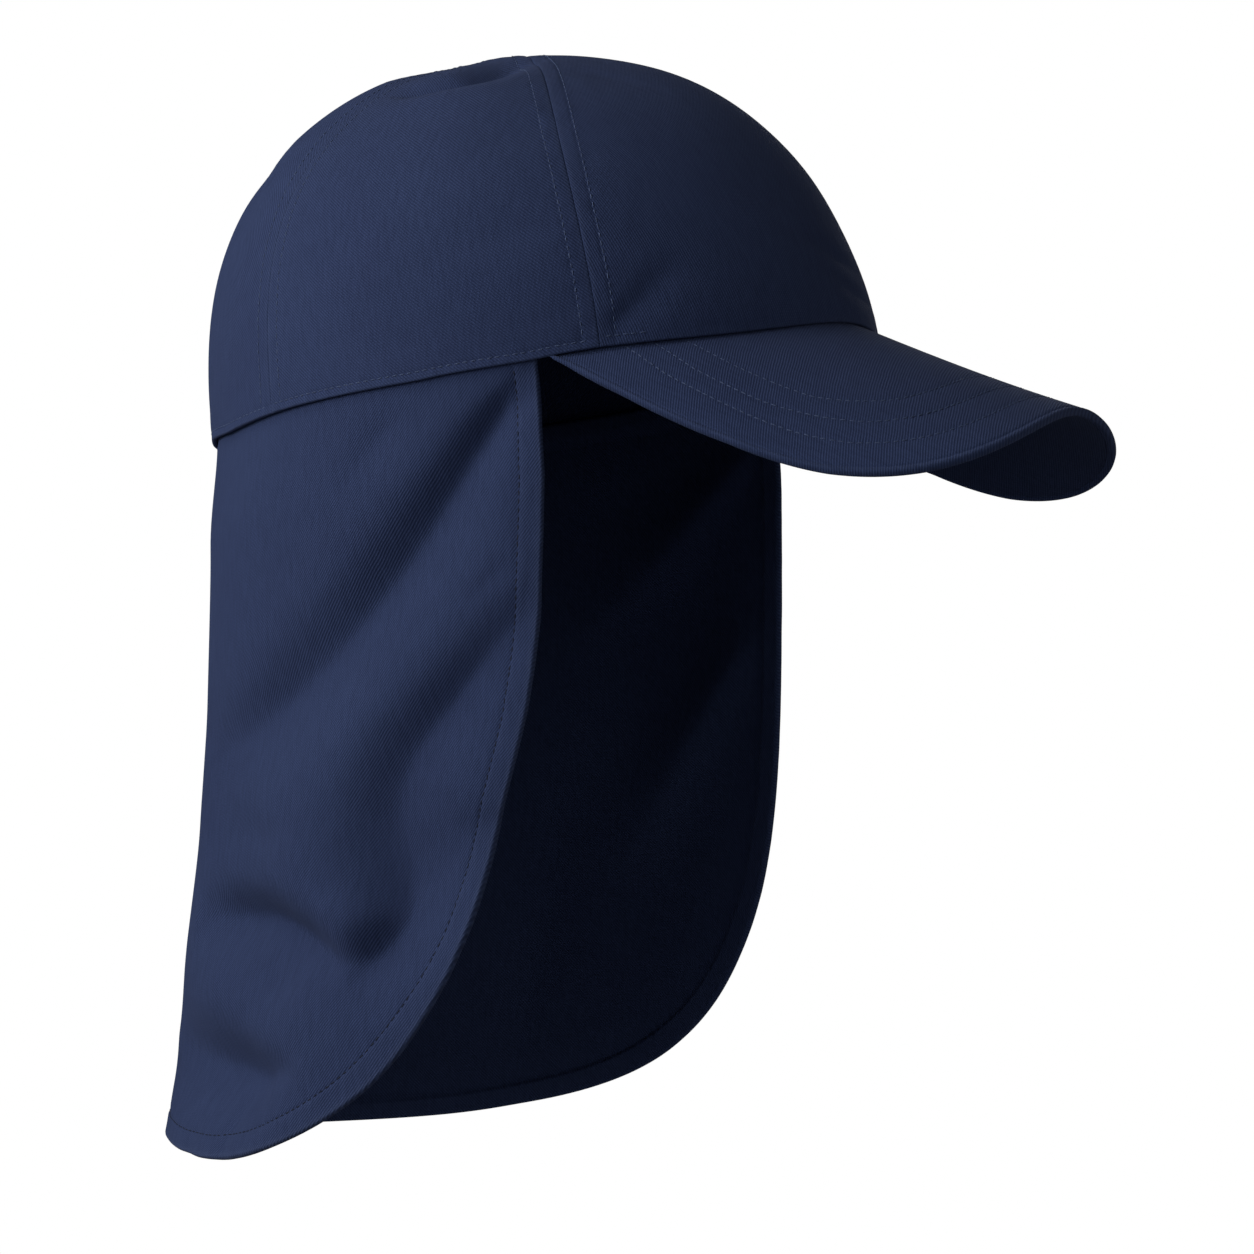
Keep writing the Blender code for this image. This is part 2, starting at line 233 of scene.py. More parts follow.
def crown_points(angles, lifts):
    heading = np.cos(np.radians(angles))
    front, back = np.maximum(heading, 0.0) ** 2, np.maximum(-heading, 0.0) ** 2
    shares = {"front": front, "back": back, "side": 1.0 - front - back}
    drawing, rising, bulge = (
        sum(shares[direction] * form[column] for direction, form in CROWN_FORM.items())
        for column in range(3)
    )
    reach = np.cos(lifts * pi / 2)
    climb = np.arccos(np.minimum(reach ** (1 / drawing), 1.0))
    height = np.sin(climb) ** rising
    reach = reach * (1 + bulge * np.sin(2 * climb) * np.cos(climb) ** 2)
    rim = rim_points(angles)
    y = rim[..., 1] * reach + TOP_SET_BACK * np.maximum(1 - reach, 0.0)
    return np.stack((rim[..., 0] * reach, y, blend(rim[..., 2], CROWN_HEIGHT, height)), axis=-1)


print("rim round, mm:", round(1000 * pi * (RIM_LENGTH + RIM_WIDTH) / 2))

# %% [markdown]
# ## Cloth with two faces
#
# Every piece of the cap is cloth with a real thickness and soft, rolled edges. A helper takes one
# layer of points and gives it an outer and an inner face that meet along the border. Seams, hems and
# puckers are then only heights on the outer face.

# %% Two faces from one layer
ON_BORDER = 1e-9  # anything nearer to the border lies on it
RELIEF_START = 0.0006  # width over which the relief sets in from the border


def grid_faces(rows, columns):
    start = np.arange(rows - 1)[:, None] * columns + np.arange(columns - 1)
    quads = np.stack((start, start + 1, start + columns + 1, start + columns), axis=-1)
    return quads.reshape(-1, 4)


def normals_of(points, faces):
    """Smooth normals of a layer's points."""
    first, second, third, fourth = (points[faces[:, corner]] for corner in range(4))
    facing = np.cross(third - first, fourth - second)
    normals = np.zeros_like(points)
    for corner in range(4):
        np.add.at(normals, faces[:, corner], facing)
    return unit(normals)


def faced(points, faces, outward):
    """The faces, turned over if they look away from outward."""
    return faces[:, ::-1] if (normals_of(points, faces) * outward).sum() < 0 else faces


def steps_along(points, axis):
    """Distance walked along one axis of a grid of points."""
    walked = np.cumsum(np.linalg.norm(np.diff(points, axis=axis), axis=-1), axis=axis)
    start = np.zeros_like(np.take(walked, [0], axis=axis))
    return np.concatenate((start, walked), axis=axis)


def rolled(distance, width, depth):
    """How far a rounded edge has dropped, so near the border."""
    near = np.clip(1 - distance / width, 0.0, 1.0)
    return depth * (1 - np.sqrt(1 - near * near))


def ridge(distance, height, away, width):
    """A rounded ridge so far away from an edge, or a groove where its height is negative."""
    return height * np.exp(-((distance - away) / width) ** 2)


def waviness(points, size, seed):
    """Smooth noise from -1 to 1 over a layer of points."""
    shift = Vector((seed * 7.31, seed * 3.17, seed * 5.93))
    return np.array([noise.noise(Vector(point) / size + shift) for point in points])


def puckers(points, distance, seed, height, size, away, reach):
    """Small waves in the cloth beside a row of stitches."""
    return height * waviness(points, size, seed) * np.exp(-np.abs(distance - away) / reach)


def two_faced(name, base, faces, edge, thickness, relief, uv, worn, roll=0.7):
    """One closed piece: relief is the outer face's height, and edge the distance from the border."""
    normals = normals_of(base, faces)
    drop = rolled(edge, roll * thickness / 2, thickness / 2)
    outer = base + normals * (relief * ease(0.0, RELIEF_START, edge) - drop)[:, None]
    inner = base + normals * (drop - thickness)[:, None]
    inside = edge > ON_BORDER
    twin = np.arange(len(base))
    twin[inside] = len(base) + np.arange(inside.sum())
    points = np.concatenate((outer, inner[inside]))
    quads = np.concatenate((faces, twin[faces][:, ::-1]))
    mesh = bpy.data.meshes.new(name)
    mesh.from_pydata(points.tolist(), [], quads.tolist())
    corner_points = np.empty(len(mesh.loops), int)
    mesh.loops.foreach_get("vertex_index", corner_points)
    layer = mesh.uv_layers.new(name="cloth")
    all_uv = np.concatenate((uv, uv[inside]))
    layer.data.foreach_set("uv", all_uv[corner_points].astype(np.float32).ravel())
    mark = mesh.attributes.new("worn", "FLOAT", "POINT")
    mark.data.foreach_set("value", np.concatenate((worn, worn[inside] * 0)).astype(np.float32))
    mesh.shade_smooth()
    piece = add_object(name, mesh)
    print(name, "faces:", len(quads))
    return piece, outer, normals


# %% [markdown]
# ## Cotton twill
#
# Twill is woven with a step from thread to thread, which leaves fine slanting ribs. Two sets of waves
# make the ribs and the threads that cross them, and a little noise bends them. Finer noise adds fluff
# and the yarn's thick places, and larger noise gives the dyed cloth its uneven tone. Where an edge is
# rubbed the navy is lighter. The ribs run over each piece's own flat cut, so they bend with the cloth.

# %% Cotton twill
RIB_PITCH = 0.00070
THREAD_PITCH = 0.00095
THREAD_TURN = 62.0  # degrees from the ribs
WAVE_TURN = 2 * pi / 20  # Blender's bands repeat after this length
EVEN = (1.0, 1.0, 1.0)
SLUBS_PER_METRE = 900.0
SLUB_SHAPE = (1.0, 0.16, 1.0)  # long thick places in the yarn
FLUFF_PER_METRE = 2600.0
TONES_PER_METRE = 16.0
DARK_NAVY = (0.0160, 0.0252, 0.0670)
LIGHT_NAVY = (0.0410, 0.0615, 0.1480)
RUBBED_NAVY = (0.075, 0.100, 0.185)
DARKER_TONE = (0.90, 0.90, 0.92)
LIGHTER_TONE = (1.07, 1.07, 1.05)


def node(tree, kind, **inputs):
    """Adds a node and sets its inputs by name, with _ for a space."""
    made = tree.nodes.new(kind)
    for key, value in inputs.items():
        made.inputs[key.replace("_", " ")].default_value = value
    return made


def laid(tree, place, kind, turn, stretch, **inputs):
    """A texture that is turned and stretched over the flat cut."""
    mapping = node(tree, "ShaderNodeMapping", Rotation=(0.0, 0.0, radians(turn)), Scale=stretch)
    texture = node(tree, kind, **inputs)
    tree.links.new(place, mapping.inputs["Vector"])
    tree.links.new(mapping.outputs["Vector"], texture.inputs["Vector"])
    return texture.outputs["Fac"]


def bands(tree, place, turn, pitch, wobble):
    """Parallel threads."""
    waves = {"Scale": WAVE_TURN / pitch, "Distortion": wobble, "Detail": 1.0, "Detail_Scale": 0.35}
    return laid(tree, place, "ShaderNodeTexWave", turn, EVEN, **waves)


def speckle(tree, place, per_metre, detail=2.0, stretch=EVEN, turn=0.0):
    return laid(tree, place, "ShaderNodeTexNoise", turn, stretch, Scale=per_metre, Detail=detail)


def sums(tree, operation, first, second):
    """One step of arithmetic between sockets or numbers."""
    step = node(tree, "ShaderNodeMath")
    step.operation = operation
    for slot, value in zip(step.inputs, (first, second)):
        if isinstance(value, (int, float)):
            slot.default_value = value
        else:
            tree.links.new(value, slot)
    return step.outputs[0]


def ramp(tree, factor, low, high, stops):
    """Colours between two values of a factor."""
    made = node(tree, "ShaderNodeValToRGB")
    made.color_ramp.elements[0].position, made.color_ramp.elements[1].position = low, high
    for element, colour in zip(made.color_ramp.elements, stops):
        element.color = (*colour, 1.0)
    tree.links.new(factor, made.inputs["Fac"])
    return made.outputs["Color"]


def mixed(tree, kind, factor, first, second):
    """Two colours blended, each a socket or a value."""
    mix = tree.nodes.new("ShaderNodeMix")
    mix.data_type, mix.blend_type = "RGBA", kind
    for slot, value in zip((mix.inputs[0], mix.inputs[6], mix.inputs[7]), (factor, first, second)):
        if isinstance(value, (int, float, tuple)):
            slot.default_value = value
        else:
            tree.links.new(value, slot)
    return mix.outputs[2]


def dressed(tree, colour, height, strength, depth):
    """The shader, given its colour and a bump."""
    bump = node(tree, "ShaderNodeBump", Strength=strength, Distance=depth)
    shader = tree.nodes["Principled BSDF"]
    tree.links.new(height, bump.inputs["Height"])
    tree.links.new(bump.outputs["Normal"], shader.inputs["Normal"])
    tree.links.new(colour, shader.inputs["Base Color"])
    return shader


def twill(name, rib_turn, shade=1.0):
    """Navy cotton twill whose ribs slant by rib_turn degrees over the cut. A shade below 1 darkens all its
    colours as painted shade.
    """
    material, tree = new_material(name)
    place = node(tree, "ShaderNodeUVMap").outputs["UV"]
    ribs = bands(tree, place, rib_turn, RIB_PITCH, 2.2)
    threads = bands(tree, place, rib_turn + THREAD_TURN, THREAD_PITCH, 1.6)
    slubs = speckle(tree, place, SLUBS_PER_METRE, 3.0, SLUB_SHAPE, rib_turn)
    fluff = speckle(tree, place, FLUFF_PER_METRE)
    tone = speckle(tree, place, TONES_PER_METRE, 4.0)
    weave = sums(tree, "MULTIPLY", ribs, sums(tree, "ADD", sums(tree, "MULTIPLY", threads, 0.35), 0.65))
    height = sums(tree, "ADD", weave, sums(tree, "MULTIPLY", fluff, 0.35))

    dark, light, rubbed_navy = (
        tuple(shade * value for value in colour) for colour in (DARK_NAVY, LIGHT_NAVY, RUBBED_NAVY)
    )
    level = sums(tree, "ADD", sums(tree, "MULTIPLY", weave, 0.45), sums(tree, "MULTIPLY", slubs, 0.35))
    level = sums(tree, "ADD", level, sums(tree, "MULTIPLY", fluff, 0.4))
    dyed = ramp(tree, level, 0.29, 0.83, (dark, light))
    uneven = ramp(tree, tone, 0.30, 0.70, (DARKER_TONE, LIGHTER_TONE))
    dyed = mixed(tree, "MULTIPLY", 1.0, dyed, uneven)
    worn = node(tree, "ShaderNodeAttribute")
    worn.attribute_name = "worn"
    rubbed = sums(tree, "MULTIPLY", worn.outputs["Fac"], sums(tree, "ADD", slubs, 0.1))
    dyed = mixed(tree, "MIX", rubbed, dyed, (*rubbed_navy, 1.0))

    shader = dressed(tree, dyed, height, 0.75, 0.00014)
    rough = node(tree, "ShaderNodeMapRange", To_Min=0.82, To_Max=0.97)
    tree.links.new(fluff, rough.inputs["Value"])
    tree.links.new(rough.outputs["Result"], shader.inputs["Roughness"])
    shader.inputs["Specular IOR Level"].default_value = 0.12
    shader.inputs["Sheen Weight"].default_value = 0.05
    shader.inputs["Sheen Roughness"].default_value = 0.55
    shader.inputs["Sheen Tint"].default_value = (0.55, 0.65, 1.0, 1.0)
    return material


side_twill = twill("side_cotton_twill", -45.0)
front_twill = twill("front_cotton_twill", -14.0)
peak_twill = twill("peak_cotton_twill", -78.0)
# The peak's under cloth takes the same twill darkened to three quarters: painted shade under the peak.
under_twill_painted_shade = twill("peak_under_twill_painted_shade", -78.0, 0.75)
flap_twill = twill("flap_cotton_twill", -39.0)
print("cloths:", [cloth.name for cloth in bpy.data.materials])

# %% [markdown]
# ## The crown's panels
#
# Five wedges of cloth meet at the top. Beside each seam the turned allowances make the cloth double,
# so a low band stands up there and ends at a row of stitches, which pulls the cloth down and puckers
# it. The rim is turned in and stitched close above its edge. The flap's weight draws the rim a little
# lower at the sides, and the rim lies a little higher at the back. A short table holds both. Another
# has the dents and creases of the worn cloth, as valleys along short lines. A negative depth is a ridge.

# %% One panel as a layer of points
SEAM_STEPS = 0.001 * np.array(
    [0, 0.1, 0.2, 0.35, 0.55, 0.9, 1.4, 1.9, 2.4, 2.9, 3.3, 3.7, 4.0, 4.3, 4.6, 4.9, 5.4, 6.2, 7.4]
)
SEAM_STITCH = 14  # which of these steps carries the stitches
RIM_STEPS = 0.001 * np.array(
    [0, 0.1, 0.25, 0.45, 0.7, 1.0, 1.4, 1.8, 2.1, 2.4, 2.7, 3.1, 3.7, 4.4]
)
RIM_STITCH = 9
SEAM_OVERLAP = 0.00012
SEAM_SQUEEZE = 2.6  # a panel narrower than so many seam bands squeezes them
PANEL_ROW = 0.0009
PANEL_COLUMN = 0.0022
WALK_STEPS = 600  # points at which the way up a panel is measured
ACROSS_STEPS = 61  # and the way across it
EVEN_ROWS = 0.03  # share of the way up over which the rows follow the rim
UNEVEN_ROWS = 0.20  # share of the way up from which they no longer do
FOLD_ROUNDNESS = 1.7
FOLD_BLEND = 0.0015
ON_LINE = 1e-7  # anything nearer to a fold's line lies on it
LINE_STEPS = 5  # steps from one of a line's points to the next
RIM_SAG = (
    # (degrees round the rim, either way, mm that the sewn rim hangs lower)
    (0, 0.0), (55, 0.0), (58, 0.2), (62, 0.5), (65, 0.9), (68, 1.1), (80, 1.1), (84, 1.25), (90, 1.0),
    (97, 0.6), (105, 0.2), (112, 0.0), (130, 0.0), (138, -1.0), (145, -1.9), (155, -2.0), (180, -1.5),
)
SAG_ENDS = 0.14  # share of the way up
CROWN_FOLDS = (
    # (how many times wider one side is, points: degrees round, share of the way up, depth, width in mm)
    (1.0, (-105, 0.585, 0.0, 4), (-97, 0.60, 3.5, 4.5), (-89, 0.615, 6.0, 4.5), (-81.5, 0.645, 6.5, 4.5),
     (-76.5, 0.70, 6.0, 4.5), (-71, 0.76, 4.0, 4.5), (-62, 0.83, 0.0, 5)),
    (1.5, (-102, 0.52, 0.0, 5), (-88, 0.545, -1.2, 5), (-76, 0.61, -1.0, 5), (-68, 0.67, 0.0, 4)),
    (1.0, (-140, 0.72, 0.0, 12), (-115, 0.79, 1.4, 14), (-88, 0.84, 1.4, 13), (-62, 0.88, 0.0, 10)),
    (1.5, (-56, 0.015, 0.0, 3), (-52, 0.035, 1.2, 3.2), (-47.5, 0.075, 1.2, 3.5), (-41, 0.135, 0.0, 4)),
    (1.6, (-62, 0.21, 0.0, 5), (-74, 0.175, 0.9, 7), (-90, 0.15, 0.0, 7)),
    (1.6, (-60, 0.44, 0.0, 4), (-68, 0.40, 0.7, 6), (-78, 0.36, 0.0, 6)),
    (1.5, (-14, 0.165, 0.0, 3), (1, 0.13, 1.3, 3), (14, 0.12, 0.0, 3)),
    (1.5, (-10, 0.09, 0.0, 3), (2, 0.068, 1.2, 3), (16, 0.05, 0.0, 3)),
    (1.6, (-50, 0.67, 0.0, 4), (-40, 0.61, 0.7, 5), (-26, 0.52, 0.0, 5)),
    (1.6, (44, 0.71, 0.0, 6), (60, 0.68, 1.7, 7), (80, 0.64, 1.6, 8), (96, 0.62, 0.0, 8)),
    (1.6, (30, 0.17, 0.0, 5), (40, 0.12, 1.4, 6), (52, 0.06, 0.0, 6)),
    (1.4, (146, 0.47, 0.0, 9), (158, 0.36, 1.4, 11), (174, 0.20, 0.0, 11)),
    (1.4, (-150, 0.52, 0.0, 8), (-140, 0.38, 1.1, 9), (-126, 0.24, 0.0, 9)),
)


def seam_angle(side, seam, lift):
    at_rim, bow = SEAMS[seam]
    return side * (at_rim + bow * np.sin(pi * lift))


def read_profile(rows, places):
    """Reads a table's second column along a smooth curve through its rows."""
    x, y = np.array(rows).T
    index = np.clip(np.searchsorted(x, places, side="left") - 1, 0, len(x) - 2)
    before, after = np.maximum(index - 1, 0), np.minimum(index + 2, len(x) - 1)
    length = x[index + 1] - x[index]
    slope_in = (y[index + 1] - y[before]) / (x[index + 1] - x[before]) * length
    slope_out = (y[after] - y[index]) / (x[after] - x[index]) * length
    share = (places - x[index]) / length
    return (
        (2 * share ** 3 - 3 * share ** 2 + 1) * y[index]
        + (share ** 3 - 2 * share ** 2 + share) * slope_in
        + (3 * share ** 2 - 2 * share ** 3) * y[index + 1]
        + (share ** 3 - share ** 2) * slope_out
    )


def smooth_line(rows):
    """More points along a smooth curve through a line's points."""
    rows = np.array(rows, float)
    known = np.arange(len(rows))
    wanted = np.linspace(0, len(rows) - 1, LINE_STEPS * (len(rows) - 1) + 1)
    smooth = [read_profile(np.stack((known, column), axis=-1), wanted) for column in rows.T]
    return np.stack(smooth, axis=-1)


def crease(places, line, depths, widths, wider):
    """A valley, so deep and wide at each of its points. Drawn with the second axis pointing up, its
    right side is so many times wider."""
    distances, valleys = [], []
    for step in range(len(line) - 1):
        along = line[step + 1] - line[step]
        share = np.clip((places - line[step]) @ along / (along @ along), 0.0, 1.0)
        offset = places - line[step] - share[:, None] * along
        distance = np.maximum(np.linalg.norm(offset, axis=-1), ON_LINE)
        left = (along[0] * offset[:, 1] - along[1] * offset[:, 0]) / (distance * np.linalg.norm(along))
        wide = blend(widths[step], widths[step + 1], share) * blend(wider, 1.0, (1 + left) / 2)
        fall = np.exp(-(distance / wide) ** FOLD_ROUNDNESS)
        valleys.append(blend(depths[step], depths[step + 1], share) * fall)
        distances.append(distance)
    closeness = np.exp((np.min(distances, axis=0) - distances) / FOLD_BLEND)
    return np.sum(closeness * valleys, axis=0) / np.sum(closeness, axis=0)


def fold_depths(folds, place, angle, share):
    """The sum of all folds, whose lines are laid out in metres by the function place."""
    angle, share = np.broadcast_arrays(angle, share)
    places = place(angle.ravel(), share.ravel())
    depth = np.zeros(len(places))
    for wider, *rows in folds:
        round_rim, along, depths, widths = smooth_line(rows).T
        depth += crease(places, place(round_rim, along), 0.001 * depths, 0.001 * widths, wider)
    return depth.reshape(angle.shape)


def crown_place(angle, lift):
    """Degrees and shares as metres, near enough for laying out folds."""
    round_rim = np.radians(angle) * RIM_LENGTH / 2
    return np.stack((round_rim * np.cos(lift * pi / 2), lift * CROWN_HEIGHT * pi / 2), axis=-1)


def panel_points(first, last, across, lift):
    lift = lift * (1 - TOP_POINT)
    overlap = np.degrees(SEAM_OVERLAP / (RIM_WIDTH / 2 * np.cos(lift * pi / 2)))
    angle = blend(seam_angle(*first, lift) - overlap, seam_angle(*last, lift) + overlap, across)
    point = crown_points(angle, lift)
    puff = PANEL_PUFF * (4 * across * (1 - across) - 1) * np.sin(pi * lift)
    outward = unit(point - np.array((0.0, TOP_SET_BACK, 0.0)))
    point = point + outward * (puff - fold_depths(CROWN_FOLDS, crown_place, angle, lift))[..., None]
    point[..., 2] -= 0.001 * read_profile(RIM_SAG, abs(angle)) * (1 - ease(0.0, SAG_ENDS, lift))
    return point


def panel_layer(first, last):
    """Rows from the rim to the top, close together at the rim, and columns close at the seams."""
    climb = np.linspace(0.0, 1.0, WALK_STEPS)
    walked = steps_along(panel_points(first, last, np.full(WALK_STEPS, 0.5), climb), 0)
    even = np.arange(RIM_STEPS[-1] + PANEL_ROW, walked[-1], PANEL_ROW)
    lifts = np.interp(np.concatenate((RIM_STEPS, even, walked[-1:])), walked, climb)
    row_lifts = lifts[:, None]
    around = np.linspace(0.0, 1.0, ACROSS_STEPS)[None, :]
    widths = steps_along(panel_points(first, last, around, row_lifts), 1)[:, -1:]
    squeeze = np.minimum(1.0, widths / (SEAM_SQUEEZE * SEAM_STEPS[-1]))
    left = SEAM_STEPS * squeeze
    count = int((widths.max() - 2 * SEAM_STEPS[-1]) / PANEL_COLUMN)
    inner = np.linspace(0.0, 1.0, count + 2)[None, 1:-1]
    middle = blend(left[:, -1:], widths - left[:, -1:], inner)
    shares = np.concatenate((left, middle, widths - left[:, ::-1]), axis=1) / widths
    low = np.array((0.0, EVEN_ROWS))[:, None]
    climbed = steps_along(panel_points(first, last, shares[:1] + 0 * low, low + 0 * shares[:1]), 0)[-1]
    steeper = blend(climbed[len(climbed) // 2] / climbed, 1.0, ease(EVEN_ROWS, UNEVEN_ROWS, row_lifts))
    return panel_points(first, last, shares, row_lifts * steeper)


print("seam steps:", len(SEAM_STEPS), "rim steps:", len(RIM_STEPS))

# %% [markdown]
# The heights on a panel's outer face follow from two distances, to the nearest seam and to the rim.

# %% The crown's panels
ALLOWANCE_HEIGHT = 0.00010
ALLOWANCE_RISES = (0.0, 0.0012)  # distances from the seam between which the doubled cloth rises
ALLOWANCE_ENDS = (0.0044, 0.0062)  # and between which it ends again
TURNING_ENDS = (0.0065, 0.0095)  # the same for the rim's turned edge
STITCH_SINK = 0.00014
FRONT_RIM_SINK = 0.2  # share of it at the front panel's rim, where no stitches show
STITCH_GROOVE = 0.0005
PUCKER_HEIGHT = 0.00022
PUCKER_SIZE = 0.0042
PUCKER_REACH = 0.0035
SEAM_PUCKERS = 0.0046  # their distance from the seam
RIM_PUCKERS = 0.0026
SOFT_HEIGHT = 0.00045
SOFT_SIZE = 0.030
SOFT_START = 0.02
SEAM_WEAR = (0.14, 0.0008, 0.0006)  # how strong, how far from the seam, how wide
RIM_WEAR = (0.15, 0.0, 0.0009)
PANEL_ROLL = 0.5  # how far round a panel's edge is rolled, as a share of half its thickness
ROW_WIDTH = 0.7  # share of the seam bands' full width, above which they carry stitches
ROW_INSET = 3  # points that the rim's stitches stop short of a seam
FRONT_ROW = 8  # points beyond the seam's stitches where those of the front rim end

seam_rows = []
rim_rows = []


def crown_panel(name, node_name, first, last, seed):
    layer = panel_layer(first, last)
    from_left = steps_along(layer, 1)
    from_seam = np.minimum(from_left, from_left[:, -1:] - from_left)
    from_rim = steps_along(layer, 0)
    points = layer.reshape(-1, 3)
    seam, rim = from_seam.ravel(), from_rim.ravel()
    faces = faced(points, grid_faces(*layer.shape[:2]), points)

    edge = np.minimum(seam, rim)
    band = ALLOWANCE_HEIGHT * ease(*ALLOWANCE_RISES, seam) * (1 - ease(*ALLOWANCE_ENDS, seam))
    band = np.maximum(band, ALLOWANCE_HEIGHT * (1 - ease(*TURNING_ENDS, rim)))
    groove = ridge(seam, STITCH_SINK, SEAM_STEPS[SEAM_STITCH], STITCH_GROOVE)
    rim_sink = STITCH_SINK * (FRONT_RIM_SINK if name == "front_panel" else 1.0)
    groove += ridge(rim, rim_sink, RIM_STEPS[RIM_STITCH], STITCH_GROOVE)
    near_seam = np.exp(-np.abs(seam - SEAM_PUCKERS) / PUCKER_REACH)
    near_rim = np.exp(-np.abs(rim - RIM_PUCKERS) / PUCKER_REACH)
    pucker = PUCKER_HEIGHT * waviness(points, PUCKER_SIZE, seed) * np.maximum(near_seam, near_rim)
    soft = SOFT_HEIGHT * waviness(points, SOFT_SIZE, seed + 1) * ease(0.0, SOFT_START, edge)
    relief = band - groove + pucker + soft

    uv = np.stack((from_left - from_left[:, -1:] / 2, from_rim), axis=-1).reshape(-1, 2)
    worn = ridge(seam, *SEAM_WEAR) + ridge(rim, *RIM_WEAR)
    panel, outer, normals = two_faced(name, points, faces, edge, CROWN_CLOTH, relief, uv, worn, PANEL_ROLL)
    panel.data.materials.append(front_twill if name == "front_panel" else side_twill)
    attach(panel, "root")
    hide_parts(node_name)

    outer, normals = outer.reshape(layer.shape), normals.reshape(layer.shape)
    wide = from_seam[:, SEAM_STITCH] > ROW_WIDTH * SEAM_STEPS[SEAM_STITCH]
    for column in (SEAM_STITCH, -1 - SEAM_STITCH):
        seam_rows.append((outer[wide, column][RIM_STITCH:], normals[wide, column][RIM_STITCH:]))
    stretches = [slice(ROW_INSET, -ROW_INSET)]
    if name == "front_panel":
        short = SEAM_STITCH + FRONT_ROW
        stretches = [slice(ROW_INSET, short), slice(-short, -ROW_INSET)]
    for stretch in stretches:
        rim_rows.append((outer[RIM_STITCH, stretch], normals[RIM_STITCH, stretch]))


RIGHT, LEFT = -1, 1
crown_panel("front_panel", "crown_front_panel", (RIGHT, "front"), (LEFT, "front"), 1)
crown_panel("side_panel_left", "crown_side_panel_left", (LEFT, "front"), (LEFT, "rear"), 2)
crown_panel("back_panel_left", "crown_back_panel_left", (LEFT, "rear"), (LEFT, "centre"), 3)
crown_panel("side_panel_right", "crown_side_panel_right", (RIGHT, "rear"), (RIGHT, "front"), 4)
crown_panel("back_panel_right", "crown_back_panel_right", (RIGHT, "centre"), (RIGHT, "rear"), 5)

# %% [markdown]
# ## The peak
#
# A board is sewn between two layers of cloth and shaped to a curve. The upper cloth is rolled over
# the board's edge, where a fine groove shows. Three rows of stitches follow the edge across it.

# %% The peak's form
PEAK_LENGTH = 0.0653  # forward of the rim
PEAK_ROOT = 63.3  # degrees round the rim, where the peak's seam ends
PEAK_SQUARENESS = 3.58  # 2 is an ellipse, and more is squarer
PEAK_FALL = 0.472  # height lost for each metre forward
PEAK_UPTURN = 1.07  # how strongly the fall eases forward, per metre
PEAK_ARCH_RADIUS = 0.0945
PEAK_SETTLING = 5.0  # how soon the sheet leaves the seam's height, in its middle
PEAK_TUCK = 0.004  # seam allowance inside the rim
PEAK_BOARD = 0.0016
PEAK_CLOTH = 0.0007
PEAK_EDGE = 0.0020
PEAK_RAISED = (
    # (share from the middle to the corner, raised at the rim, raised at the edge)
    (0.0, 0.0016, 0.0), (0.5, 0.0018, 0.0), (0.62, 0.0019, 0.0004), (0.74, 0.0020, 0.0018),
    (0.88, 0.0021, 0.0013), (0.95, 0.0013, 0.0004), (1.0, 0.0, 0.0),
)
OUTLINE_HALVINGS = 40  # steps that find a rounded outline's edge


def outline_reach(across, along, square_across, square_along):
    """How far a rounded square's edge lies out in a direction, where its half sides are 1."""
    near, far = np.zeros_like(across), np.full_like(across, 2.0)
    for _ in range(OUTLINE_HALVINGS):
        middle = (near + far) / 2
        inside = (middle * abs(across)) ** square_across + (middle * abs(along)) ** square_along < 1
        near, far = np.where(inside, middle, near), np.where(inside, far, middle)
    return near


def peak_sheet_height(across, forward):
    arch = PEAK_ARCH_RADIUS - np.sqrt(PEAK_ARCH_RADIUS ** 2 - across ** 2)
    front = RIM_RISE * RIM_LENGTH / 2 + RIM_ARCH
    return front - PEAK_FALL * forward + PEAK_UPTURN * forward ** 2 - arch


def peak_ends(across):
    """The two ends of a line across the peak, at the rim and at the edge, and its length."""
    root = rim_points(across * PEAK_ROOT, PEAK_TUCK)
    corner = rim_points(np.array(PEAK_ROOT))
    reach = RIM_LENGTH / 2 + PEAK_LENGTH + corner[1]
    heading = across * pi / 2
    far = outline_reach(np.sin(heading), np.cos(heading), PEAK_SQUARENESS, PEAK_SQUARENESS)
    x, y = corner[0] * np.sin(heading) * far, corner[1] - reach * np.cos(heading) * far
    tip = np.stack((x, y, root[..., 2]), axis=-1)
    return root, tip, np.linalg.norm(tip - root, axis=-1)


def peak_points(across, from_edge):
    """Points of the peak's top, so far in from its edge."""
    root, tip, length = peak_ends(across)
    out = 1 - from_edge / length
    point = root + (tip - root) * out[..., None]
    front = -RIM_LENGTH / 2
    places, at_rim, at_edge = np.array(PEAK_RAISED).T
    seat = np.interp(abs(across), places, at_rim)
    raised = root[..., 2] + seat - peak_sheet_height(root[..., 0], front - root[..., 1])
    settling = blend(PEAK_SETTLING, 1.0, abs(across) ** 3)
    sheet = peak_sheet_height(point[..., 0], front - point[..., 1])
    point[..., 2] = sheet + raised * np.clip(1 - out, 0.0, 1.0) ** settling
    point[..., 2] += np.interp(abs(across), places, at_edge) * out ** 2
    return point


print("peak forward of the rim, mm:", round(1000 * PEAK_LENGTH, 1))

# %% [markdown]
# The rows of stitches are given by their distance from the edge, read at a few places from the middle
# to the corner, where each row runs out into the rim.

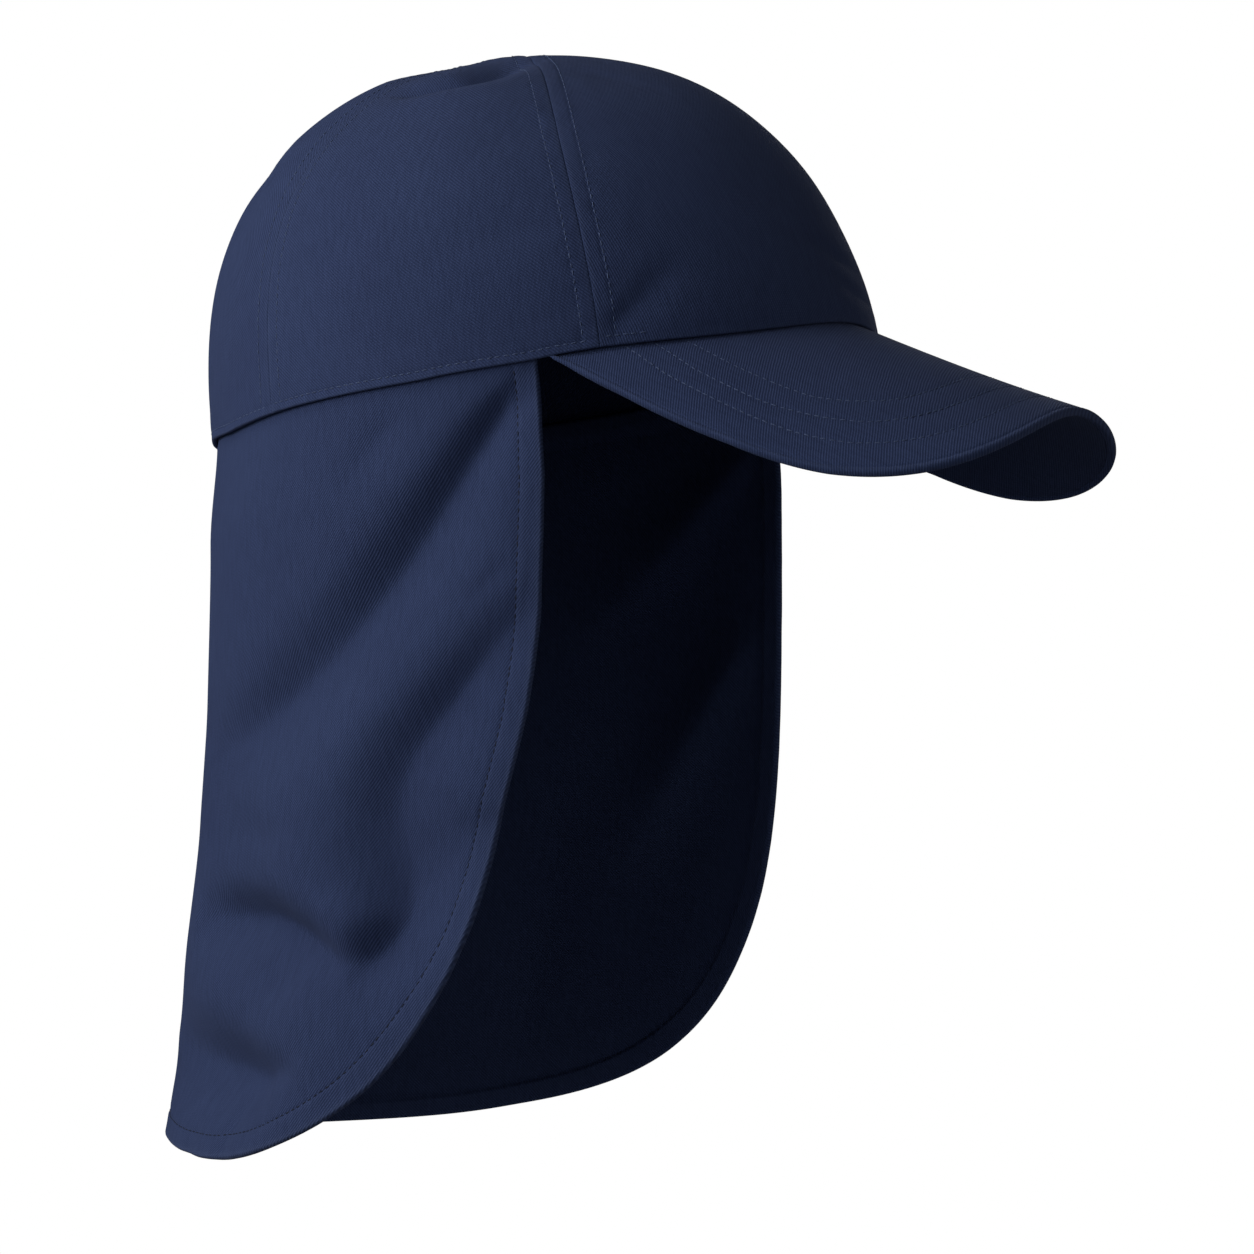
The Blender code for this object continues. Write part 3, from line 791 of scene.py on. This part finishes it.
# %% The peak's cloth
PEAK_STITCHES = (
    # (share from the middle to the corner, distance from the edge)
    ((0.0, 0.0108), (0.56, 0.0105), (0.63, 0.0118), (0.70, 0.0138), (0.78, 0.0160), (0.833, 0.0222)),
    ((0.0, 0.0190), (0.50, 0.0190), (0.63, 0.0214), (0.71, 0.0252), (0.756, 0.0325)),
    ((0.0, 0.0272), (0.42, 0.0272), (0.54, 0.0292), (0.619, 0.0362), (0.679, 0.0440)),
)
ROLL_STEPS = 0.001 * np.array([0, 0.08, 0.22, 0.45, 0.8, 1.2, 1.6, 1.9, 2.15, 2.4, 2.7, 3.2, 4.0])
PEAK_COLUMNS = 261
PEAK_ROW = 0.0010
PEAK_HALF_ROUND = 0.12  # from the middle of the edge to the corner
EDGE_GROOVE = (-0.00022, 0.0019, 0.00035)  # height, distance from the edge, width
EDGE_ROLL = (0.00006, 0.0010, 0.0006)
EDGE_WEAR = (0.20, 0.0009, 0.0007)
EDGE_THICKER = 0.0008  # the cloth that is rolled over the board's edge
EDGE_ENDS = (0.0016, 0.0028)
STITCH_VALLEY = (0.00022, 0.0, 0.0006)
BOARD_WAVES = (0.00010, 0.02)  # height and size
CORNER_LENGTH = 0.07  # share of the half width over which the peak thins out to its corner
CORNER_CLOTH = 0.35  # share of its thickness there


def stitch_distance(row, across):
    places, distances = zip(*row)
    return np.interp(abs(across), places, distances)


def peak_grid(first_steps, pitch, inset, ends):
    """Points and faces, close together at the edge, with their shares across and distances from it."""
    across = np.linspace(-1.0, 1.0, PEAK_COLUMNS)[ends:PEAK_COLUMNS - ends][None, :]
    length = peak_ends(across)[2] - inset
    squeeze = np.minimum(1.0, length / (2.0 * first_steps[-1]))
    close = first_steps[:, None] * squeeze
    count = int((length.max() - first_steps[-1]) / pitch)
    inner = np.linspace(0.0, 1.0, count + 1)[1:, None]
    from_edge = np.concatenate((close, blend(close[-1:], length, inner)))
    across = across + 0 * from_edge
    points = peak_points(across, from_edge + inset).reshape(-1, 3)
    faces = faced(points, grid_faces(*from_edge.shape), (0, 0, 1))
    return points, faces, across.ravel(), from_edge.ravel()


def peak_uv(points):
    around = PEAK_ARCH_RADIUS * np.arcsin(points[:, 0] / PEAK_ARCH_RADIUS)
    return np.stack((around, -points[:, 1]), axis=-1)


points, faces, across, edge = peak_grid(ROLL_STEPS, PEAK_ROW, 0.0, 0)
edge = np.minimum(edge, (1 - abs(across)) * PEAK_HALF_ROUND)
relief = ridge(edge, *EDGE_GROOVE) + ridge(edge, *EDGE_ROLL)
for row in PEAK_STITCHES:
    relief -= ridge(edge - stitch_distance(row, across), *STITCH_VALLEY)
relief += BOARD_WAVES[0] * waviness(points, BOARD_WAVES[1], 11)
corner = ease(0.0, CORNER_LENGTH, 1 - abs(across))
thickness = PEAK_BOARD + EDGE_THICKER * (1 - ease(*EDGE_ENDS, edge))
thickness *= blend(CORNER_CLOTH, 1.0, corner)
worn = ridge(edge, *EDGE_WEAR)
cover, _, _ = two_faced("peak_cover", points, faces, edge, thickness, relief, peak_uv(points), worn)
cover.data.materials.append(peak_twill)
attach(cover, "root")
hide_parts("peak_upper")

# %% [markdown]
# The under cloth is a separate piece, laid inside the rolled edge and a little lower than the board.

# %% The peak's under cloth
UNDER_STEPS = 0.001 * np.array([0, 0.1, 0.3, 0.6, 1.0, 1.6])
UNDER_ROW = 0.0022
UNDER_ENDS = 4  # columns that it stops short of each corner
UNDER_PUCKERS = (0.00015, 0.006, 0.0, 0.004)  # height, size, distance from the edge, reach

points, faces, _, edge = peak_grid(UNDER_STEPS, UNDER_ROW, PEAK_EDGE, UNDER_ENDS)
base = points - normals_of(points, faces) * (PEAK_BOARD + PEAK_CLOTH)
relief = puckers(points, edge, 12, *UNDER_PUCKERS)
thickness = 0 * edge + PEAK_CLOTH
under, _, _ = two_faced(
    "peak_under_cloth", base, faces[:, ::-1], edge, thickness, relief, peak_uv(points), 0 * edge
)
# Its darker twill is painted shade under the peak.
under.data.materials.append(under_twill_painted_shade)
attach(under, "root")
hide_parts("peak_under")

# %% [markdown]
# ## The neck flap
#
# The flap is one wide piece of cloth, sewn inside the rim from temple to temple. It hangs freely, so
# its folds start where it is held and run down and back. Its sides and lower edge are turned in twice
# and stitched. The layer is first laid out flat, with its rounded corners, and then hung.

# %% The flap laid flat
FLAP_DROP = 0.221  # longest, below the rim
FLAP_START = 64.9  # degrees round the rim, where its front edges hang
FLAP_TUCK = 0.008  # inside the crown, above the rim
FLAP_FLARE = 0.018  # how far the hem stands out at the back
FLAP_SWELL = 0.0020  # how far the cloth springs out below the crown's edge
FLAP_SWELL_DROP = 0.030  # over this drop
FLAP_CLOTH = 0.0012
HEM_WIDTH = 0.007
HEM_CLOTH = 0.0024  # the turned hem's thickness
CLEARANCE = 0.0003  # left between neighbouring pieces
FLAP_COLUMNS = 250
FLAP_ROWS = 130
HEM_STEPS = 0.001 * np.array(
    [6.6, 6.25, 5.8, 5.1, 4.2, 3.2, 2.3, 1.7, 1.2, 0.85, 0.55, 0.3, 0.12, 0.0]
)
HALF_WIDTH = radians(180 - FLAP_START) * RIM_LENGTH / 2
FLAP_CORNERS = {
    # side: (squareness across, squareness down)
    "left": (5.2, 4.0),
    "right": (4.3, 3.15),
}
FLAP_LENGTHS = (
    # (share of the half width, left to right, drop / FLAP_DROP)
    (-1.00, 0.99), (-0.45, 1.00), (-0.15, 0.97), (0.20, 0.92), (0.50, 0.95), (1.00, 0.96),
)
FLAP_PROFILE = (
    # (share of the drop, share of FLAP_FLARE)
    (0.00, 0.00), (0.16, 0.04), (0.50, 0.18), (0.66, 0.45), (0.82, 0.66), (1.00, 1.00),
)


def flat_flap():
    """The cut inside its hem as shares, across from -1 to 1 and down from 0 to 1."""
    across, down = np.meshgrid(np.linspace(-1, 1, FLAP_COLUMNS + 1), np.linspace(0, 1, FLAP_ROWS + 1))
    wide, deep = across * np.sqrt(1 - down ** 2 / 2), down * np.sqrt(1 - across ** 2 / 2)
    out = np.maximum(np.hypot(wide, deep), ON_BORDER)
    side = ease(0.0, 1.0, (1 + wide / out) / 2)
    square_across, square_down = (
        blend(left, right, side) for left, right in zip(FLAP_CORNERS["left"], FLAP_CORNERS["right"])
    )
    far = outline_reach(wide / out, deep / out, square_across, square_down)
    longest = read_profile(FLAP_LENGTHS, wide / out)
    x = wide * far * (1 - HEM_WIDTH / HALF_WIDTH)
    y = deep * far * (1 - HEM_WIDTH / FLAP_DROP) * longest
    return np.stack((x, y), axis=-1)


body = flat_flap()
print("flap's flat width and drop, mm:", round(2000 * HALF_WIDTH), round(1000 * FLAP_DROP))

# %% [markdown]
# Rings of points round the body make the hem, and rows above the rim make the part that is sewn in.

# %% The hem's rings and the sewn edge
TUCK_STEPS = (0.0065, 0.004, 0.0015, 0.0006, 0.0002, 0.0)  # below the sewn edge
POINTS_AT_ONCE = 4000

rows, columns = body.shape[:2]
index = np.arange(rows * columns).reshape(rows, columns)
loop = np.concatenate((index[:, 0], index[-1, 1:-1], index[::-1, -1]))
flat = [body.reshape(-1, 2)]
faces = [grid_faces(rows, columns)]
scale_x, scale_y = 1 - HEM_WIDTH / HALF_WIDTH, 1 - HEM_WIDTH / FLAP_DROP
ring, rings = loop, []
for step in HEM_STEPS:
    grown = body.reshape(-1, 2)[loop] * ((1 - step / HALF_WIDTH) / scale_x, (1 - step / FLAP_DROP) / scale_y)
    fresh = sum(len(part) for part in flat) + np.arange(len(loop))
    flat.append(grown)
    faces.append(np.stack((ring[:-1], ring[1:], fresh[1:], fresh[:-1]), axis=-1))
    rings.append(fresh)
    ring = fresh
edge = np.concatenate((np.full(rows * columns, np.nan), np.repeat(HEM_STEPS, len(loop))))
metres = np.array((HALF_WIDTH, FLAP_DROP))
rim_line = flat[-1] * metres
points_flat = body.reshape(-1, 2) * metres
for start in range(0, len(points_flat), POINTS_AT_ONCE):
    chunk = points_flat[start:start + POINTS_AT_ONCE]
    edge[start:start + len(chunk)] = np.linalg.norm(chunk[:, None] - rim_line[None], axis=-1).min(axis=1)

top = np.concatenate(([r[0] for r in rings[::-1]], index[0], [r[-1] for r in rings]))
previous = top
flat_all = np.concatenate(flat)
for below_top in TUCK_STEPS:
    fresh = len(flat_all) + np.arange(len(top))
    height = (FLAP_TUCK - below_top) / FLAP_DROP
    flat_all = np.concatenate((flat_all, np.stack((flat_all[top, 0], 0 * top - height), axis=-1)))
    faces.append(np.stack((fresh[:-1], fresh[1:], previous[1:], previous[:-1]), axis=-1))
    edge = np.concatenate((edge, np.minimum(edge[top], below_top)))
    previous = fresh
faces = np.concatenate(faces)
print("flap's points:", len(flat_all), "and faces:", len(faces))

# %% [markdown]
# Hanging turns the flat points round the oval rim. The folds are valleys and ridges along short lines
# of the cloth. The longest one starts at the near temple and runs down towards the back. Another
# table lets the two front edges swing a little forward and back on their way down.

# %% The flap hung from the rim
FLAP_EDGES = (
    # (share of the drop, mm that the left edge hangs further forward, the same for the right edge)
    (0.00, 0.0, -0.9), (0.14, 0.0, 1.5), (0.30, 0.5, 1.5), (0.42, 1.0, 0.3), (0.56, 2.0, -3.3),
    (0.63, 2.4, -4.3), (0.70, 2.4, -4.6), (0.75, 1.8, -3.2), (0.79, 1.0, -1.2), (0.85, 0.2, 3.6),
    (0.91, -1.0, 4.3), (1.00, 1.0, 5.0),
)
EDGE_SWING = 6  # how close to the edges that swing stays
FOLDS_SET_IN = 0.06  # share of the drop
HEM_ENDS = (0.0062, 0.0074)  # distances from the edge between which the hem thins out to one layer
HEM_HEIGHT = 0.00012
HEM_GROOVE = (-0.00030, 0.0066, 0.00050)  # height, distance from the edge, width
HEM_PUCKERS = (0.00030, 0.0055, 0.0060, 0.004)  # height, size, distance from the edge, reach
FLAP_WAVES = (0.00060, 0.035)  # height and size
HEM_WEAR = (0.25, 0.0008, 0.0008)
HEM_LIGHTER = 0.06
FLAP_FOLDS = (
    # (how many times wider one side is, points: degrees round, share of the drop, depth, width in mm)
    (1.8, (-68.5, 0.025, 2.5, 3), (-73, 0.075, 5.5, 5), (-84.3, 0.19, 8.2, 8.5), (-93.5, 0.262, 8.8, 10),
     (-103, 0.32, 8, 11), (-115, 0.372, 7, 10.5), (-126, 0.40, 4, 9), (-138, 0.415, 0.0, 8)),
    (1.6, (-69, 0.315, 2.5, 7), (-79, 0.395, 6.5, 8.5), (-87.5, 0.465, 8.8, 11.5), (-90, 0.54, 11, 16),
     (-88, 0.61, 13, 16), (-88, 0.655, 11, 12), (-92, 0.69, 6, 9), (-97, 0.71, 0.0, 8)),
    (1.5, (-88, 0.67, 0.0, 6), (-93, 0.695, 4, 7), (-98, 0.70, 5.5, 7), (-107, 0.668, 12, 8.5),
     (-117, 0.64, 14, 9), (-127, 0.63, 11, 9), (-138, 0.625, 0.0, 8)),
    (1.2, (-104, 0.82, 0.0, 5), (-111, 0.828, 6, 8), (-118, 0.835, 12, 12), (-127, 0.825, 13, 13),
     (-138, 0.81, 8, 13), (-152, 0.79, 0, 13)),
    (1.6, (-86, 0.04, 0.0, 4), (-92, 0.07, 1.4, 5), (-101, 0.14, 0.0, 5)),
    (1.4, (-69, 0.235, 0.0, 3), (-72, 0.255, 0.8, 3), (-78, 0.285, 0.0, 3)),
    (1.6, (-108, 0.55, 0.0, 8), (-120, 0.53, 3.0, 9), (-136, 0.50, 0.0, 9)),
    (1.6, (-106, 0.73, 0.0, 7), (-114, 0.715, 3.2, 8), (-128, 0.70, 0.0, 8)),
    (1.3, (-121, 0.845, 0.0, 3), (-122, 0.90, 1.6, 3), (-121, 0.96, 0.0, 3)),
    (1.3, (-132, 0.89, 0.0, 4), (-133, 0.93, 0.9, 4), (-134, 0.98, 0.0, 4)),
    (1.0, (182, 0.20, 0.0, 14), (180, 0.45, -3.0, 15), (174, 0.96, -3.0, 16)),
    (1.3, (160, 0.06, 0.0, 9), (155, 0.40, 4.0, 13), (150, 0.90, 0.0, 14)),
    (1.3, (-164, 0.06, 0.0, 9), (-163, 0.30, 2.6, 12), (-161, 0.70, 0.0, 13)),
    (1.8, (69, 0.05, 0.0, 4), (76, 0.09, 3.0, 5), (88, 0.17, 5.0, 9), (114, 0.32, 0.0, 10)),
    (1.6, (68, 0.30, 0.0, 6), (76, 0.37, 3.5, 8), (88, 0.50, 5.5, 10), (104, 0.67, 0.0, 11)),
    (1.0, (110, 0.45, 0.0, 12), (117, 0.75, -3.0, 13), (121, 0.97, -1.0, 13)),
)


def flap_place(angle, share):
    """Degrees round from the back and shares of the drop as metres on the flat cut."""
    from_back = (angle % 360) - 180
    return np.stack((np.radians(from_back) * RIM_LENGTH / 2, share * FLAP_DROP), axis=-1)


def hang(across, down):
    share = np.maximum(down, 0.0) / FLAP_DROP
    shares, left, right = np.array(FLAP_EDGES).T
    forward = np.where(across > 0, np.interp(share, shares, right), -np.interp(share, shares, left))
    across = across + 0.001 * forward / HALF_WIDTH * abs(across) ** EDGE_SWING
    angle = 180 + across * (180 - FLAP_START)
    swell = FLAP_SWELL * ease(0.0, FLAP_SWELL_DROP, down)
    start = cos(radians(FLAP_START))
    towards_back = np.maximum((start - np.cos(np.radians(angle))) / (start + 1), 0.0)
    flare = FLAP_FLARE * read_profile(FLAP_PROFILE, share) * towards_back
    turn = np.radians(angle)
    outward = unit(np.stack((np.sin(turn) * RIM_LENGTH, -np.cos(turn) * RIM_WIDTH, 0 * turn), axis=-1))
    folds = fold_depths(FLAP_FOLDS, flap_place, angle, down / FLAP_DROP)
    out = swell + flare - ease(0.0, FOLDS_SET_IN, share) * folds
    point = rim_points(angle, CROWN_CLOTH + CLEARANCE) + outward * out[:, None]
    point[:, 2] -= down
    return point


points = hang(flat_all[:, 0], flat_all[:, 1] * FLAP_DROP)
faces = faced(points, faces, points * (1, 1, 0))
hem = 1 - ease(*HEM_ENDS, edge)
relief = HEM_HEIGHT * hem + ridge(edge, *HEM_GROOVE)
relief += puckers(points, edge, 21, *HEM_PUCKERS)
relief += FLAP_WAVES[0] * waviness(points, FLAP_WAVES[1], 22) * ease(0.0, SOFT_START, edge)
thickness = blend(FLAP_CLOTH, HEM_CLOTH, hem)
worn = ridge(edge, *HEM_WEAR) + HEM_LIGHTER * hem
flap, flap_outer, flap_normals = two_faced(
    "flap_cloth", points, faces, edge, thickness, relief, flat_all * metres, worn
)
flap.data.materials.append(flap_twill)
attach(flap, "root")
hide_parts("neck_flap")

# %% [markdown]
# ## The stitches
#
# Each stitch is a short bent length of thread whose two ends dive into the cloth. A helper walks along
# a row, sets them at an even pitch with a little unevenness, and joins them into one mesh.

# %% Thread and stitches
STITCH_PITCH = 0.0023
STITCH_LENGTH = 0.00165
THREAD_RADIUS = 0.00016
STITCH_SIDES = 6
STITCH_RINGS = np.array((
    # (share of half its length, share of the thread's radius)
    (-1.0, 0.25), (-0.86, 0.8), (-0.45, 1.0), (0.0, 1.0), (0.45, 1.0), (0.86, 0.8), (1.0, 0.25),
))
STITCH_RISE = 0.45  # of its middle above the cloth, as a share of the thread's radius
STITCH_DIVE = 1.25  # how much lower its ends lie
UNEVEN_PLACE = 0.00012
UNEVEN_LENGTH = (0.88, 1.08)
UNEVEN_LEAN = 0.00007
PLY_PITCH = 0.0004
PLY_TURN = 35.0
THREAD_TONES = 260.0  # for each metre


def thread(name, colour, lighter):
    material, tree = new_material(name)
    place = node(tree, "ShaderNodeTexCoord").outputs["Object"]
    plies = bands(tree, place, PLY_TURN, PLY_PITCH, 0.5)
    tone = speckle(tree, place, THREAD_TONES)
    level = sums(tree, "ADD", sums(tree, "MULTIPLY", plies, 0.4), sums(tree, "MULTIPLY", tone, 0.6))
    dyed = ramp(tree, level, 0.2, 0.8, (colour, lighter))
    shader = dressed(tree, dyed, plies, 0.5, 0.00006)
    shader.inputs["Roughness"].default_value = 0.70
    shader.inputs["Specular IOR Level"].default_value = 0.25
    return material


def stitches(name, rows, material, seed):
    """One mesh of all the stitches along rows of points with their normals."""
    chance = np.random.default_rng(seed)
    turns = np.linspace(0, 2 * pi, STITCH_SIDES, endpoint=False)
    along, fat = STITCH_RINGS.T
    tube_faces = []
    for ring in range(len(along) - 1):
        for side in range(STITCH_SIDES):
            a, b = ring * STITCH_SIDES + side, ring * STITCH_SIDES + (side + 1) % STITCH_SIDES
            tube_faces.append((a, b, b + STITCH_SIDES, a + STITCH_SIDES))
    tube_faces = np.array(tube_faces)
    per_stitch = len(along) * STITCH_SIDES
    points, quads, caps = [], [], []
    for line, normals in rows:
        walked = steps_along(line, 0)
        for middle in np.arange(STITCH_PITCH, walked[-1] - STITCH_PITCH, STITCH_PITCH):
            middle += chance.normal(0.0, UNEVEN_PLACE)
            half = STITCH_LENGTH / 2 * chance.uniform(*UNEVEN_LENGTH)
            at = middle + along * half
            centre, normal = (
                np.stack([np.interp(at, walked, column) for column in rows_of.T], axis=-1)
                for rows_of in (line, normals)
            )
            normal = unit(normal)
            forward = unit(np.gradient(centre, axis=0))
            sideways = np.cross(normal, forward)
            lift = THREAD_RADIUS * (STITCH_RISE - STITCH_DIVE * along ** 4)
            lean = chance.normal(0.0, UNEVEN_LEAN) * along
            centre = centre + normal * lift[:, None] + sideways * lean[:, None]
            around = sideways[:, None] * np.cos(turns)[None, :, None]
            around = around + normal[:, None] * np.sin(turns)[None, :, None]
            tube = centre[:, None] + around * (THREAD_RADIUS * fat)[:, None, None]
            start = len(points) * per_stitch
            points.append(tube.reshape(-1, 3))
            quads.append(tube_faces + start)
            last = start + per_stitch - STITCH_SIDES
            caps.append(tuple(range(start, start + STITCH_SIDES))[::-1])
            caps.append(tuple(range(last, last + STITCH_SIDES)))
    mesh = bpy.data.meshes.new(name)
    mesh.from_pydata(np.concatenate(points).tolist(), [], np.concatenate(quads).tolist() + caps)
    mesh.shade_smooth()
    mesh.materials.append(material)
    piece = add_object(name, mesh)
    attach(piece, "root")
    print(name, "stitches:", len(points))
    return piece


# %% [markdown]
# The thread of the crown and the peak is a shade lighter than the cloth. The hem's is darker.

# %% All rows of stitches
PEAK_ROW_POINTS = 400
INWARD_STEP = 0.0002
PEAK_STITCH_BED = 0.00012  # depth of the valley that the stitches lie in

light_thread = thread("navy_thread", (0.034, 0.050, 0.112), (0.082, 0.115, 0.215))
dark_thread = thread("dark_navy_thread", (0.004, 0.006, 0.015), (0.014, 0.019, 0.040))
stitches("crown_seam_stitches", seam_rows, light_thread, 31)
stitches("crown_rim_stitches", rim_rows, light_thread, 32)

peak_rows = []
for row in PEAK_STITCHES:
    ends = row[-1][0]
    across = np.linspace(-ends, ends, PEAK_ROW_POINTS)
    distance = stitch_distance(row, across)
    line = peak_points(across, distance)
    sideways = np.gradient(line, axis=0)
    inward = peak_points(across, distance + INWARD_STEP) - line
    up = unit(np.cross(sideways, inward))
    up *= np.sign(up[:, 2:3])
    keep = peak_ends(across)[2] > distance
    peak_rows.append(((line - up * PEAK_STITCH_BED)[keep], up[keep]))
stitches("peak_stitches", peak_rows, light_thread, 33)

hem_line = rings[0]
hem_row = (flap_outer[hem_line], flap_normals[hem_line])
hem_stitches = stitches("hem_stitches", [hem_row], dark_thread, 34)
